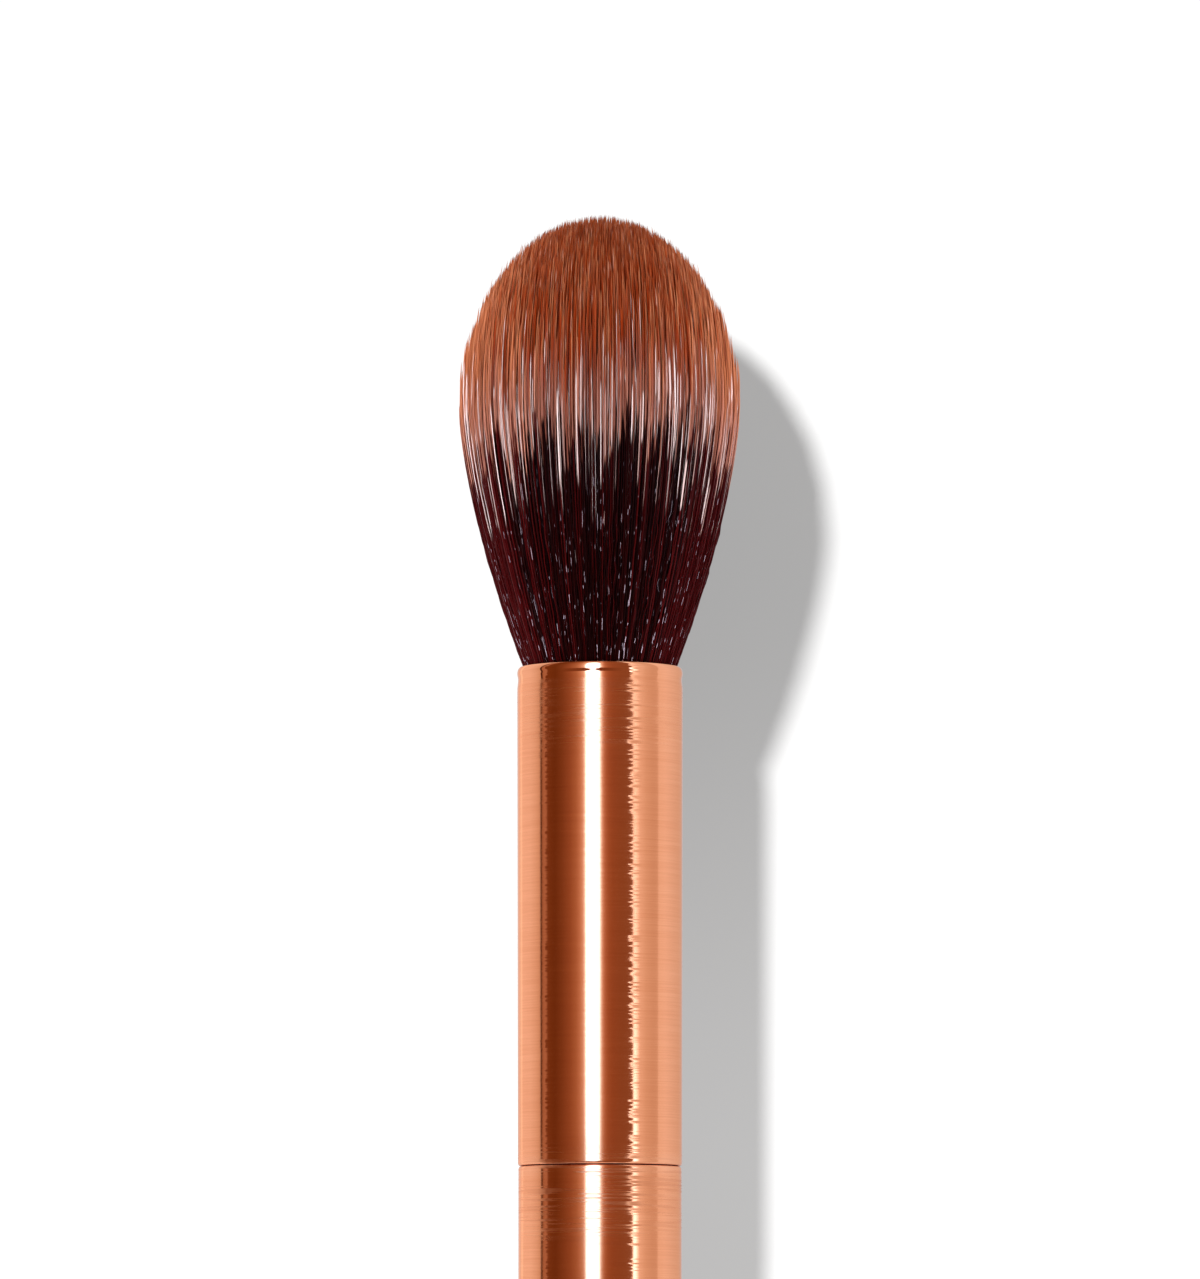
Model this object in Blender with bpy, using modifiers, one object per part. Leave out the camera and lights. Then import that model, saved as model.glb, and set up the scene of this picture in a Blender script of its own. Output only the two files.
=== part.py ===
"""Highlighter brush: a round-topped tuft in a metal ferrule, on a weighted tube handle.

The brush stands upright on the end of its handle. Its axis is +Z, and the origin is the centre of
the flat end face. All sizes are in metres.
"""

import math

import bmesh
import bpy
import numpy as np
from mathutils import Vector
from mathutils.geometry import delaunay_2d_cdt

# Handle: a drawn tube, closed below by a turned cap
HANDLE_DIAMETER = 0.0147
HANDLE_WALL = 0.0007
HANDLE_LENGTH = 0.0894
CAP_FLANGE_HEIGHT = 0.0026
CAP_FOOT_ROUND = 0.0006
CAP_SPIGOT_LENGTH = 0.006
WEIGHT_LENGTH = 0.032
WEIGHT_CHAMFER = 0.0005

# Ferrule: a slightly tapered tube with a rolled lip
FERRULE_MOUTH_DIAMETER = 0.0150
FERRULE_FOOT_DIAMETER = 0.0148
FERRULE_WALL = 0.00035
FERRULE_LENGTH = 0.0450
LIP_CURL = 0.00029
LIP_HEIGHT = 0.00055
LIP_EDGE = 0.0002

# Rolled edges on both sides of a seam between two outer pieces
EDGE_ROUND_WIDTH = 0.00018
EDGE_ROUND_HEIGHT = 0.0004

# Connector: the hidden plug across the seam
CONNECTOR_LOWER_LENGTH = 0.014
CONNECTOR_UPPER_LENGTH = 0.012
CONNECTOR_BORE_DIAMETER = 0.0064

# Plugs that are glued into a tube: the cap's spigot and both ends of the connector. Each is
# chamfered to start easily and has a groove that holds the adhesive
PLUG_CHAMFER = 0.0005
GROOVE_HEIGHT = 0.0012
GROOVE_DEPTH = 0.0003

# Clearances
SEAM_GAP = 0.00015
GLUE_LINE = 0.0001
WEIGHT_CLEARANCE = 0.00015

# Tuft: its outline above the ferrule's mouth
TUFT_HEIGHT = 0.0414
TUFT_BELLY_HEIGHT = 0.0236
TUFT_BELLY_DIAMETER = 0.0254
TUFT_MOUTH_CLEARANCE = 0.00008

# Roots of the tuft: the filaments' ends, set in a slice of resin and tied with thread
ROOT_DEPTH = 0.0020
SLICE_THICKNESS = 0.0030
SLICE_CLEARANCE = 0.00025
THREAD_DIAMETER = 0.00035
THREAD_TURNS = 3
RESIN_LENGTH = 0.010
RESIN_HOLLOW = 0.0012

# Filaments, of which the last few stand on the tuft's very edge
STRAND_COUNT = 320
EDGE_STRAND_COUNT = 12
STRAND_SIDES = 3
STRAND_WIDTH_SHARE = 0.036
STRAND_TIP_WIDTH_SHARE = 0.40
TIP_STAGGER = 0.0007

# Shares of the way from the roots to the belly at which filaments bend, and the nearest place to
# the axis, as a share of the tuft's radius, from which a filament takes each bend
BEND_HEIGHT_SHARES = (0.30, 0.65, 1.0)
BEND_PLACE_SHARES = (0.70, 0.40, 0.0)

# How the tuft's outline falls from the belly to the mouth, and how far its filaments lean
# back in above the belly
TUFT_FLARE_POWER = 1.55
TUFT_GATHER_SHARE = 0.25

# Facets
SHELL_SIDES = 64
INNER_SIDES = 48
ARC_STEPS = 3

# How often the tips' heights are worked out afresh, and at how many heights the gaps are measured
TIP_PASSES = 24
GAP_HEIGHTS = 60

QUARTER_TURN = math.pi / 2
GOLDEN_ANGLE = math.pi * (3 - math.sqrt(5))
WELD_SHARE = 0.01

# Sizes and heights that follow from those above
handle_radius = HANDLE_DIAMETER / 2
handle_bore = handle_radius - HANDLE_WALL
handle_foot = CAP_FLANGE_HEIGHT + SEAM_GAP
handle_top = handle_foot + HANDLE_LENGTH
ferrule_foot = handle_top + SEAM_GAP
mouth = ferrule_foot + FERRULE_LENGTH
mouth_radius = FERRULE_MOUTH_DIAMETER / 2
lip_radius = mouth_radius - LIP_CURL
lip_inner_radius = lip_radius - LIP_EDGE
belly_radius = TUFT_BELLY_DIAMETER / 2
weld_distance = SEAM_GAP * WELD_SHARE


def ferrule_bore(height):
    """Inside radius of the ferrule at a height above its foot."""
    foot = FERRULE_FOOT_DIAMETER / 2 - FERRULE_WALL
    top = mouth_radius - FERRULE_WALL
    return foot + (top - foot) * height / FERRULE_LENGTH


def quarter_round(centre, width, height, start, end):
    """Points of a quarter of an ellipse in a profile, from one angle to another."""
    points = []
    for step in range(ARC_STEPS + 1):
        angle = start + (end - start) * step / ARC_STEPS
        points.append((centre[0] + width * math.cos(angle), centre[1] + height * math.sin(angle)))
    return points


def upper_round(radius, top, width, height):
    """The rounded outer edge of an upper end."""
    return quarter_round((radius - width, top - height), width, height, QUARTER_TURN, 0)


def lower_round(radius, bottom, width, height):
    """The rounded outer edge of a lower end."""
    return quarter_round((radius - width, bottom + height), width, height, 0, -QUARTER_TURN)


def groove(radius, middle):
    """A square groove in an outer side, top to bottom."""
    half = GROOVE_HEIGHT / 2
    floor = radius - GROOVE_DEPTH
    return [(radius, middle + half), (floor, middle + half), (floor, middle - half), (radius, middle - half)]


def material(name, colour, roughness, metallic=0.0):
    """A plain finish for one sub-part."""
    finish = bpy.data.materials.new(name)
    finish.use_nodes = True
    shader = finish.node_tree.nodes["Principled BSDF"]
    shader.inputs["Base Color"].default_value = (*colour, 1)
    shader.inputs["Roughness"].default_value = roughness
    shader.inputs["Metallic"].default_value = metallic
    finish.diffuse_color = (*colour, 1)
    return finish


def add_part(name, mesh, base, finish):
    """Puts a mesh in the brush's collection, on the axis and at the height of its base."""
    part = bpy.data.objects.new(name, mesh)
    part.location.z = base
    part.parent = axis
    mesh.materials.append(finish)
    parts.objects.link(part)
    return part


def turned_part(name, profile, base, sides, finish, bored):
    """Spins a profile, drawn down its outer side, round the axis. A bored one is a closed outline."""
    mesh = bpy.data.meshes.new(name)
    shape = bmesh.new()
    points = [shape.verts.new((radius, 0, height)) for radius, height in profile]
    for upper, lower in zip(points, points[1:]):
        shape.edges.new((upper, lower))
    if bored:
        shape.edges.new((points[-1], points[0]))
    shape.to_mesh(mesh)
    shape.free()

    part = add_part(name, mesh, base, finish)
    screw = part.modifiers.new("Spin", "SCREW")
    screw.steps = sides
    screw.render_steps = sides
    screw.use_merge_vertices = True
    screw.merge_threshold = weld_distance
    part.modifiers.new("Shading", "WEIGHTED_NORMAL")
    return part


def end_cap():
    """Turned disc with a rounded foot and a spigot that is glued into the handle tube."""
    spigot = handle_bore - GLUE_LINE
    top = CAP_FLANGE_HEIGHT + CAP_SPIGOT_LENGTH
    profile = [(0, top), (spigot - PLUG_CHAMFER, top), (spigot, top - PLUG_CHAMFER)]
    profile += groove(spigot, CAP_FLANGE_HEIGHT + CAP_SPIGOT_LENGTH / 2)
    profile += [(spigot, CAP_FLANGE_HEIGHT)]
    profile += upper_round(handle_radius, CAP_FLANGE_HEIGHT, EDGE_ROUND_WIDTH, EDGE_ROUND_HEIGHT)
    profile += lower_round(handle_radius, 0, CAP_FOOT_ROUND, CAP_FOOT_ROUND)
    profile += [(0, 0)]
    return turned_part("end_cap", profile, 0, SHELL_SIDES, copper, bored=False)


def handle_tube():
    """Outer tube of the handle, with rolled edges where it meets the cap and the ferrule."""
    profile = upper_round(handle_radius, HANDLE_LENGTH, EDGE_ROUND_WIDTH, EDGE_ROUND_HEIGHT)
    profile += lower_round(handle_radius, 0, EDGE_ROUND_WIDTH, EDGE_ROUND_HEIGHT)
    profile += [(handle_bore, 0), (handle_bore, HANDLE_LENGTH)]
    return turned_part("handle_tube", profile, handle_foot, SHELL_SIDES, copper, bored=True)


def balance_weight():
    """Steel slug that stands on the cap's spigot."""
    radius = handle_bore - WEIGHT_CLEARANCE
    shoulder = radius - WEIGHT_CHAMFER
    profile = [
        (0, WEIGHT_LENGTH),
        (shoulder, WEIGHT_LENGTH),
        (radius, WEIGHT_LENGTH - WEIGHT_CHAMFER),
        (radius, WEIGHT_CHAMFER),
        (shoulder, 0),
        (0, 0),
    ]
    seat = CAP_FLANGE_HEIGHT + CAP_SPIGOT_LENGTH + GLUE_LINE
    return turned_part("balance_weight", profile, seat, INNER_SIDES, steel, bored=False)


def connector():
    """Hollow stepped plug: its lower end fills the handle tube, its upper end the ferrule's foot."""
    lower = handle_bore - GLUE_LINE
    upper = min(ferrule_bore(0), ferrule_bore(CONNECTOR_UPPER_LENGTH)) - GLUE_LINE
    neck = min(lower, upper)
    shoulder = CONNECTOR_LOWER_LENGTH + SEAM_GAP
    top = shoulder + CONNECTOR_UPPER_LENGTH
    bore = CONNECTOR_BORE_DIAMETER / 2
    profile = [(bore, top), (upper - PLUG_CHAMFER, top), (upper, top - PLUG_CHAMFER)]
    profile += groove(upper, shoulder + CONNECTOR_UPPER_LENGTH / 2)
    profile += [(upper, shoulder), (neck, shoulder)]
    if lower > neck:
        profile += [(neck, CONNECTOR_LOWER_LENGTH), (lower, CONNECTOR_LOWER_LENGTH)]
    profile += groove(lower, CONNECTOR_LOWER_LENGTH / 2)
    profile += [(lower, PLUG_CHAMFER), (lower - PLUG_CHAMFER, 0), (bore, 0)]
    base = handle_top - CONNECTOR_LOWER_LENGTH
    return turned_part("connector", profile, base, INNER_SIDES, black_plastic, bored=True)


def ferrule():
    """Thin tube that widens slightly to its mouth, where the metal is rolled in to a lip."""
    foot_radius = FERRULE_FOOT_DIAMETER / 2
    shoulder = FERRULE_LENGTH - LIP_HEIGHT
    lip_centre = (lip_radius, shoulder)
    profile = quarter_round(lip_centre, LIP_CURL, LIP_HEIGHT, QUARTER_TURN, 0)
    profile += lower_round(foot_radius, 0, EDGE_ROUND_WIDTH, EDGE_ROUND_HEIGHT)
    profile += [(ferrule_bore(0), 0), (ferrule_bore(shoulder), shoulder - LIP_EDGE)]
    profile += [(lip_inner_radius, FERRULE_LENGTH - LIP_EDGE)]
    return turned_part("ferrule", profile, ferrule_foot, SHELL_SIDES, copper, bored=True)


def slice_radius():
    """Radius of the resin slice that holds the roots, clear of the ferrule's bore all the way down."""
    top = FERRULE_LENGTH - ROOT_DEPTH
    return min(ferrule_bore(top), ferrule_bore(top - SLICE_THICKNESS)) - SLICE_CLEARANCE


def resin_plug():
    """Resin poured behind the tuft, with the hollow that it sets to on its free side."""
    top = FERRULE_LENGTH - ROOT_DEPTH - SLICE_THICKNESS - GLUE_LINE
    bottom = top - RESIN_LENGTH
    radius = min(ferrule_bore(top), ferrule_bore(bottom)) - GLUE_LINE
    profile = [(0, RESIN_LENGTH), (radius, RESIN_LENGTH)]
    for step in range(ARC_STEPS + 1):
        angle = QUARTER_TURN * step / ARC_STEPS
        profile.append((radius * math.cos(angle), RESIN_HOLLOW * math.sin(angle)))
    profile[-1] = (0, RESIN_HOLLOW)
    return turned_part("resin_plug", profile, ferrule_foot + bottom, INNER_SIDES, resin, bored=False)


def band_height():
    """Height of the thread's turns, side by side."""
    return THREAD_TURNS * THREAD_DIAMETER


def band_radius():
    """Inner radius of the thread's turns, sunk so that they lie inside the slice's outline."""
    return slice_radius() - THREAD_DIAMETER - GLUE_LINE


def root_band():
    """The turns of thread that tie the roots, lobed on the outside."""
    inner = band_radius()
    round_of_thread = THREAD_DIAMETER / 2
    profile = [(inner, band_height())]
    for turn in reversed(range(THREAD_TURNS)):
        middle = (turn + 0.5) * THREAD_DIAMETER
        for step in range(ARC_STEPS + 1):
            angle = QUARTER_TURN - math.pi * step / ARC_STEPS
            radius = inner + round_of_thread + round_of_thread * math.cos(angle)
            profile.append((radius, middle + round_of_thread * math.sin(angle)))
        if turn:
            profile.pop()
    profile.append((inner, 0))
    base = mouth - ROOT_DEPTH - (SLICE_THICKNESS + band_height()) / 2
    return turned_part("root_band", profile, base, INNER_SIDES, thread, bored=True)


def tuft_radius(height):
    """Outside of the tuft at a height above the ferrule's mouth, and of its roots below it."""
    if height > TUFT_BELLY_HEIGHT:
        rise = (height - TUFT_BELLY_HEIGHT) / (TUFT_HEIGHT - TUFT_BELLY_HEIGHT)
        return belly_radius * (1 - TUFT_GATHER_SHARE * rise**2)
    fall = (TUFT_BELLY_HEIGHT - height) / TUFT_BELLY_HEIGHT
    throat = lip_inner_radius - TUFT_MOUTH_CLEARANCE
    return belly_radius - (belly_radius - throat) * fall**TUFT_FLARE_POWER


def tip_height(place, stagger):
    """Height at which a filament meets the domed top of the tuft."""
    rise_squared = 0.0
    for _ in range(TIP_PASSES):
        lean = 1 - TUFT_GATHER_SHARE * rise_squared
        rise_squared = 1 - (place * lean) ** 2
    dome = (TUFT_HEIGHT - TUFT_BELLY_HEIGHT) * math.sqrt(rise_squared)
    return TUFT_BELLY_HEIGHT + dome - TIP_STAGGER * stagger


def strand_path(index):
    """Centre and half width of a filament at its root, at each of its bends and at its tip."""
    inner_count = STRAND_COUNT - EDGE_STRAND_COUNT
    place = min(math.sqrt((index + 0.5) / inner_count), 1) * (1 - STRAND_WIDTH_SHARE)
    turn = index * GOLDEN_ANGLE
    outward = Vector((math.cos(turn), math.sin(turn), 0))
    stagger = (index * GOLDEN_ANGLE / QUARTER_TURN) % 1
    root = -ROOT_DEPTH
    heights = [root]
    for height_share, nearest_place in zip(BEND_HEIGHT_SHARES, BEND_PLACE_SHARES):
        if place >= nearest_place:
            heights.append(root + (TUFT_BELLY_HEIGHT - root) * height_share)
    heights.append(tip_height(place, stagger))

    path = []
    for height in heights:
        spread = tuft_radius(height)
        centre = outward * place * spread
        centre.z = height
        path.append([centre, spread * STRAND_WIDTH_SHARE])
    path[-1][1] *= STRAND_TIP_WIDTH_SHARE
    return path


def strand_section(path):
    """Corners of a filament at its root, one of them pointing away from the axis."""
    centre, half_width = path[0]
    corners = []
    for side in range(STRAND_SIDES):
        angle = math.atan2(centre.y, centre.x) + 2 * math.pi * side / STRAND_SIDES
        corners.append(centre.xy + half_width * Vector((math.cos(angle), math.sin(angle))))
    return corners


def least_strand_gap(paths):
    """Least distance between the round outlines that hold two filaments, at many heights."""
    least = math.inf
    for height in np.linspace(-ROOT_DEPTH, TUFT_HEIGHT, GAP_HEIGHTS, endpoint=False):
        rows = []
        for path in paths:
            levels = [centre.z for centre, _ in path]
            if height <= levels[-1]:
                values = [(centre.x, centre.y, half_width) for centre, half_width in path]
                rows.append([np.interp(height, levels, column) for column in zip(*values)])
        rows = np.array(rows)
        if len(rows) < 2:
            continue
        apart = np.linalg.norm(rows[:, None, :2] - rows[None, :, :2], axis=2)
        apart -= rows[:, None, 2] + rows[None, :, 2]
        np.fill_diagonal(apart, math.inf)
        least = min(least, apart.min())
    return least


def add_slice(shape, rim):
    """Side and foot of the slice below its rim of points, with the neck that the thread lies in."""
    outer = slice_radius()
    neck = band_radius() - GLUE_LINE
    middle = -ROOT_DEPTH - SLICE_THICKNESS / 2
    half_neck = band_height() / 2 + GLUE_LINE
    rows = [
        (outer, middle + half_neck),
        (neck, middle + half_neck),
        (neck, middle - half_neck),
        (outer, middle - half_neck),
        (outer, -ROOT_DEPTH - SLICE_THICKNESS),
    ]
    above = rim
    for radius, height in rows:
        below = []
        for point in rim:
            flat = point.co.xy.normalized() * radius
            below.append(shape.verts.new((*flat, height)))
        for side, (upper, lower) in enumerate(zip(above, below)):
            shape.faces.new((upper, lower, below[side - 1], above[side - 1]))
        above = below
    shape.faces.new(above)


def bristle_head():
    """The tuft: tapered filaments that spread, swell to a belly and end on a dome, on one slice."""
    paths = [strand_path(index) for index in range(STRAND_COUNT)]
    print(f"least gap between filaments: {least_strand_gap(paths) * 1000:.3f} mm")

    # The top of the slice is a flat sheet of triangles round each filament's root
    scale = slice_radius()
    outline = []
    for side in range(INNER_SIDES):
        angle = 2 * math.pi * side / INNER_SIDES
        outline.append(Vector((math.cos(angle), math.sin(angle))))
    corners = list(outline)
    loops = [list(range(INNER_SIDES))]
    for path in paths:
        first = len(corners)
        corners += [corner / scale for corner in strand_section(path)]
        loops.append(list(range(first, first + STRAND_SIDES)))
    sheet = delaunay_2d_cdt(corners, [], loops, 0, weld_distance)
    points, _, triangles, point_sources, _, face_sources = sheet

    shape = bmesh.new()
    strand_of = shape.faces.layers.int.new("strand")
    verts = [shape.verts.new((point.x * scale, point.y * scale, -ROOT_DEPTH)) for point in points]
    growing = []
    for triangle, sources in zip(triangles, face_sources):
        face = shape.faces.new([verts[corner] for corner in triangle])
        strand = max(sources, default=0)
        face[strand_of] = strand
        if strand:
            growing.append(face)
    rim = [None] * INNER_SIDES
    for vert, sources in zip(verts, point_sources):
        for source in sources:
            if source < INNER_SIDES:
                rim[source] = vert
    add_slice(shape, rim)

    # Each root grows to its next bend, all filaments together, until the last one has its tip
    level = 0
    while growing:
        level += 1
        grown = bmesh.ops.extrude_discrete_faces(shape, faces=growing)["faces"]
        growing = []
        for face in grown:
            path = paths[face[strand_of] - 1]
            (start, start_width), (end, end_width) = path[level - 1 : level + 1]
            for vert in face.verts:
                vert.co = end + (vert.co - start) * (end_width / start_width)
            if level + 1 < len(path):
                growing.append(face)

    bmesh.ops.recalc_face_normals(shape, faces=shape.faces)
    mesh = bpy.data.meshes.new("bristle_head")
    shape.to_mesh(mesh)
    shape.free()
    return add_part("bristle_head", mesh, mouth, filament)


for old in list(bpy.data.objects):
    bpy.data.objects.remove(old, do_unlink=True)

parts = bpy.data.collections.new("highlighter_brush")
bpy.context.scene.collection.children.link(parts)
axis = bpy.data.objects.new("brush_axis", None)
axis.empty_display_size = HANDLE_DIAMETER
parts.objects.link(axis)

copper = material("brushed_copper", (0.83, 0.36, 0.20), 0.25, 1.0)
steel = material("turned_steel", (0.55, 0.55, 0.56), 0.35, 1.0)
black_plastic = material("black_plastic", (0.02, 0.02, 0.022), 0.45)
resin = material("clear_resin", (0.62, 0.50, 0.30), 0.15)
thread = material("binding_thread", (0.70, 0.66, 0.58), 0.8)
filament = material("rust_filament", (0.23, 0.045, 0.02), 0.4)

end_cap()
handle_tube()
balance_weight()
connector()
ferrule()
resin_plug()
root_band()
bristle_head()
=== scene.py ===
"""Highlighter brush, dressed for its photograph: copper shells and a tuft of dyed filaments."""

import math

import bpy
import numpy as np
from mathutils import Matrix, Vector


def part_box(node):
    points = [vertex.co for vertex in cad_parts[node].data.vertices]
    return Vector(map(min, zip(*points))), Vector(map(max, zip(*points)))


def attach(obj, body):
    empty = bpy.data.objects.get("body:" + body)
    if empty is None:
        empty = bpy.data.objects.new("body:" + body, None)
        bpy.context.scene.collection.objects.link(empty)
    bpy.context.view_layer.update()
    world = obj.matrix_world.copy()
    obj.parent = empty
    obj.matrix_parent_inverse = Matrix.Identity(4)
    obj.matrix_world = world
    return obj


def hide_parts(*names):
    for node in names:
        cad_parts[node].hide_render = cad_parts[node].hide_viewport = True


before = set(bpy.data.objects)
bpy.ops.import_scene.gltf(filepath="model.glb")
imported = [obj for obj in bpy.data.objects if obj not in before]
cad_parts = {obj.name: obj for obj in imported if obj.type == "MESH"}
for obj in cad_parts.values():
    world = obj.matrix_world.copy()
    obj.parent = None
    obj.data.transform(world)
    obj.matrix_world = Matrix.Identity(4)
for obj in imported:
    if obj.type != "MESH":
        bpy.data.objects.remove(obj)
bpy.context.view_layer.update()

MM = 0.001
SEED = 4107
TURN = 2 * math.pi

# Camera
CAMERA_PLACE = Vector((0, -0.676, 0.0715))
CAMERA_AIM = Vector((0, 0, 0.1399))
CAMERA_LENS = 210.9
SENSOR = 36

# Backdrop: a wall close behind the brush, and where the brush's shadow falls on it
BACKDROP_DISTANCE = 20 * MM
BACKDROP_WIDTH = 4.0
BACKDROP_HEIGHT = 2.4
BACKDROP_PALE = 0.04
# The wall's own glow, which paints the grey of the shadow, at SHADE_HEIGHTS
SHADE_TONES = (0.49, 0.383)
SHADE_HEIGHTS = (90 * MM, 150 * MM)
SHADOW_ASIDE = 7.7 * MM
SHADOW_DROP = 7.6 * MM
SHADOW_LAMP_WIDTH = math.radians(5.5)
SHADOW_LAMP_ENERGY = 56

# Metal shells
SHELL_SIDES = 256
ROUND_STEPS = 8
TUBE_STEPS = 8
DISC_MIDDLE = 0.4
WELD = 0.002 * MM
EDGE_WIDTH = 0.15 * MM
EDGE_HEIGHT = 0.26 * MM
SEAM_GAP = 0.15 * MM
SEAM_CLOSING = 0.035 * MM
FOOT_ROUND = 0.60 * MM
HANDLE_WALL = 0.70 * MM
FERRULE_WALL = 0.35 * MM
FERRULE_TAPER = 0.10 * MM
LIP_CURL = 0.29 * MM
LIP_HEIGHT = 0.55 * MM
LIP_EDGE = 0.20 * MM
BEAD_DROP = 1.08 * MM
BEAD_DEPTH = 0.075 * MM
BEAD_ABOVE = 0.50 * MM
BEAD_BELOW = 1.0 * MM
BEAD_SHARES = (-1, -0.83, -0.66, -0.5, -0.34, -0.17, 0, 0.2, 0.4, 0.6, 0.8, 1)
SPIGOT_LENGTH = 6.0 * MM
GLUE_LINE = 0.10 * MM
PLUG_CHAMFER = 0.50 * MM
GROOVE_HEIGHT = 1.2 * MM
GROOVE_DEPTH = 0.30 * MM
SMOOTH_ANGLE = math.radians(40)

# Patches of coarser lines on the copper: azimuth, half width and strength
BUFFED_PATCHES = [
    (24, 8, 1.0),
    (-40, 3, 0.5),
    (97, 16, 0.6),
    (168, 12, 0.8),
    (-118, 14, 0.7),
]

# Tuft outline above the ferrule's mouth
TUFT_HEIGHT = 41.5 * MM
BELLY_HEIGHT = 23.6 * MM
BELLY_RADIUS = 12.7 * MM
ROOT_DEPTH = 2.0 * MM
SLICE_THICKNESS = 3.0 * MM
SLICE_ROUND = 0.20 * MM
THREAD_DIAMETER = 0.35 * MM
THROAT_CLEARANCE = 0.10 * MM
FLARE_POWER = 1.55
GATHER_SHARE = 0.25
OUTLINE_PASSES = 24

# Filaments: how many, their places, and the groups they draw together into
STRAND_COUNT = 9000
CORE_PLACE = 0.72
CORE_RINGS = 9
OUTER_RINGS = 25
STRAND_SIDES = 3
STRAND_RADIUS = 0.066 * MM
TIP_LENGTH = 1.7 * MM
PIECE_TRIANGLES = 180000
CLUMPS = 2400
BUNDLES = 340
DISC_EDGE = 0.9995
HOME_SPREAD = 0.0055
CLUMP_SPREAD = 0.008
BUNDLE_SPREAD = 0.016
CLUMP_PULL = (0.05, 0.45)
OWN_PULL = (0.7, 1.0)
CLUMP_POWER = 1.2
BUNDLE_DRAW = (0.0, 0.16)
BUNDLE_POWER = 1.5
LEAN = 0.17
LEAN_POWER = 1.6
STRAY_SHARE = 0.012
SHORT_BY = 0.75 * MM
SHORT_POWER = 1.3
STUNTED_SHARE = 0.14
STUNTED_BY = 2.6 * MM
SIZE_SPREAD = 0.22
SIZE_LIMITS = (0.6, 1.55)
CRIMP_PITCH = (2.6, 4.6)
CRIMP_SIZE = 0.028 * MM
CRIMP_FOOT = 1.5 * MM
CRIMP_TOP = 16 * MM
CRIMP_FADE = 5 * MM
CRIMPED_HEIGHTS = (-0.3 * MM, 13.2 * MM, 16)
PLAIN_HEIGHT = 4.0 * MM
ROOT_IN_SLICE = 0.4
TIP_TAPER = 0.6
TIP_STEPS = (0.42, 0.76, 1.0)

# Dyes of the filaments, and the highlights and glints painted on them
SECTORS = 520
SHEETS = 6
DYES = 8
VARIETIES = 8
TONES = 3
KINDS = 4
STYLES = VARIETIES * TONES * KINDS
KIND_SHARES = [0.12, 0.14, 0.26, 0.48]
# Painted highlight streaks: how strong they are for each kind, where they lie along a filament, how
# far they reach
KIND_HIGHLIGHT_STREAKS = [0.0, 0.40, 0.75, 1.0]
KIND_SIZES = [1.1, 1.05, 0.95, 0.85]
HIGHLIGHT_STREAK_PLACE = (1.03, 0.125)
HIGHLIGHT_STREAK_REACH = (0.08, 0.27)
HIGHLIGHT_STREAK_FADE = (0.75, 1.0)
TONE_SPREAD = 0.14
DYE_HEIGHT = 19.4 * MM
DYE_SPREAD = 2.1 * MM
# How far the dye line drops at the left and right sides: painted rim light
DYE_DROP_FOR_RIM_LIGHT = 1.0 * MM
DYE_OWN = 0.9 * MM
DYE_BY_BUNDLE = 0.4
TONE_BY_SHEET = 0.5
DYED_TIP = 14.0 * MM
# How much paler the tones are at the left and right sides: painted rim light
RIM_LIGHT_PALING = 0.95
SUNK_ROOT = 5.0 * MM
ALONG_ABOVE = 20 * MM

# The filaments' map: a column's margin, and where a root, a dye line and a tip lie in it
MAP_MARGIN = 0.12
MAP_ROOT = 0.01
MAP_DYE_LINE = 0.42
MAP_TIP = 0.84
MAP_TIP_LENGTH = 0.15
MAP_TIP_CLEAR = 0.12
MAP_FOOT_LIFT = 0.012

# Softboxes of the studio, square, and their names, azimuths and radiances
SOFTBOX_NEAR = 0.50
SOFTBOX_HEIGHT = 0.150
SOFTBOX_SIZE = 0.30
SOFTBOXES = [("strip_softbox", -9.5, 8.2), ("rim_left", -115, 10.0), ("rim_right", 115, 10.0)]

# Floor of the studio
FLOOR_RADIUS = 6
FLOOR_SIDES = 96

# How far from the axis the cards stand, and between which heights
PLACE_SIDES = (0.34, -0.40, 0.52)
PLACE_TOP = (0.34, 0.52, 1.20)
PLACE_STRIP = (0.335, 0.0, 0.50)
PLACE_LOW = (0.337, -0.15, 0.075)
PLACE_EDGE = (0.335, 0.04, 0.115)
STRIP_ROUNDS = (0.10, 0.28)

# Cards of the studio: azimuth seen from the brush, right positive, and the tone there
CARDS_LEFT = [
    (-179.9, 0.70, 0.70, 0.70),
    (-155, 1.02, 1.00, 1.05),
    (-147, 1.05, 1.03, 1.05),
    (-145, 1.35, 1.35, 1.40),
    (-140, 1.30, 1.30, 1.35),
    (-138, 1.08, 1.05, 1.08),
    (-129, 1.07, 1.04, 1.07),
    (-115, 1.04, 1.00, 1.00),
    (-100, 0.90, 0.81, 0.75),
    (-91.4, 0.75, 0.62, 0.52),
    (-90.9, 0.07, 0.015, 0.0),
    (-88.4, 0.07, 0.015, 0.0),
    (-87.2, 0.46, 0.26, 0.16),
    (-80, 0.50, 0.29, 0.20),
    (-78, 0.21, 0.072, 0.020),
    (-65, 0.18, 0.060, 0.016),
    (-54, 0.24, 0.092, 0.034),
    (-42, 0.36, 0.155, 0.075),
    (-33, 0.50, 0.27, 0.155),
    (-27.3, 0.70, 0.44, 0.31),
    (-23.5, 0.92, 0.76, 0.68),
    (-21, 0.74, 0.52, 0.40),
    (-10, 0.66, 0.45, 0.33),
]
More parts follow.
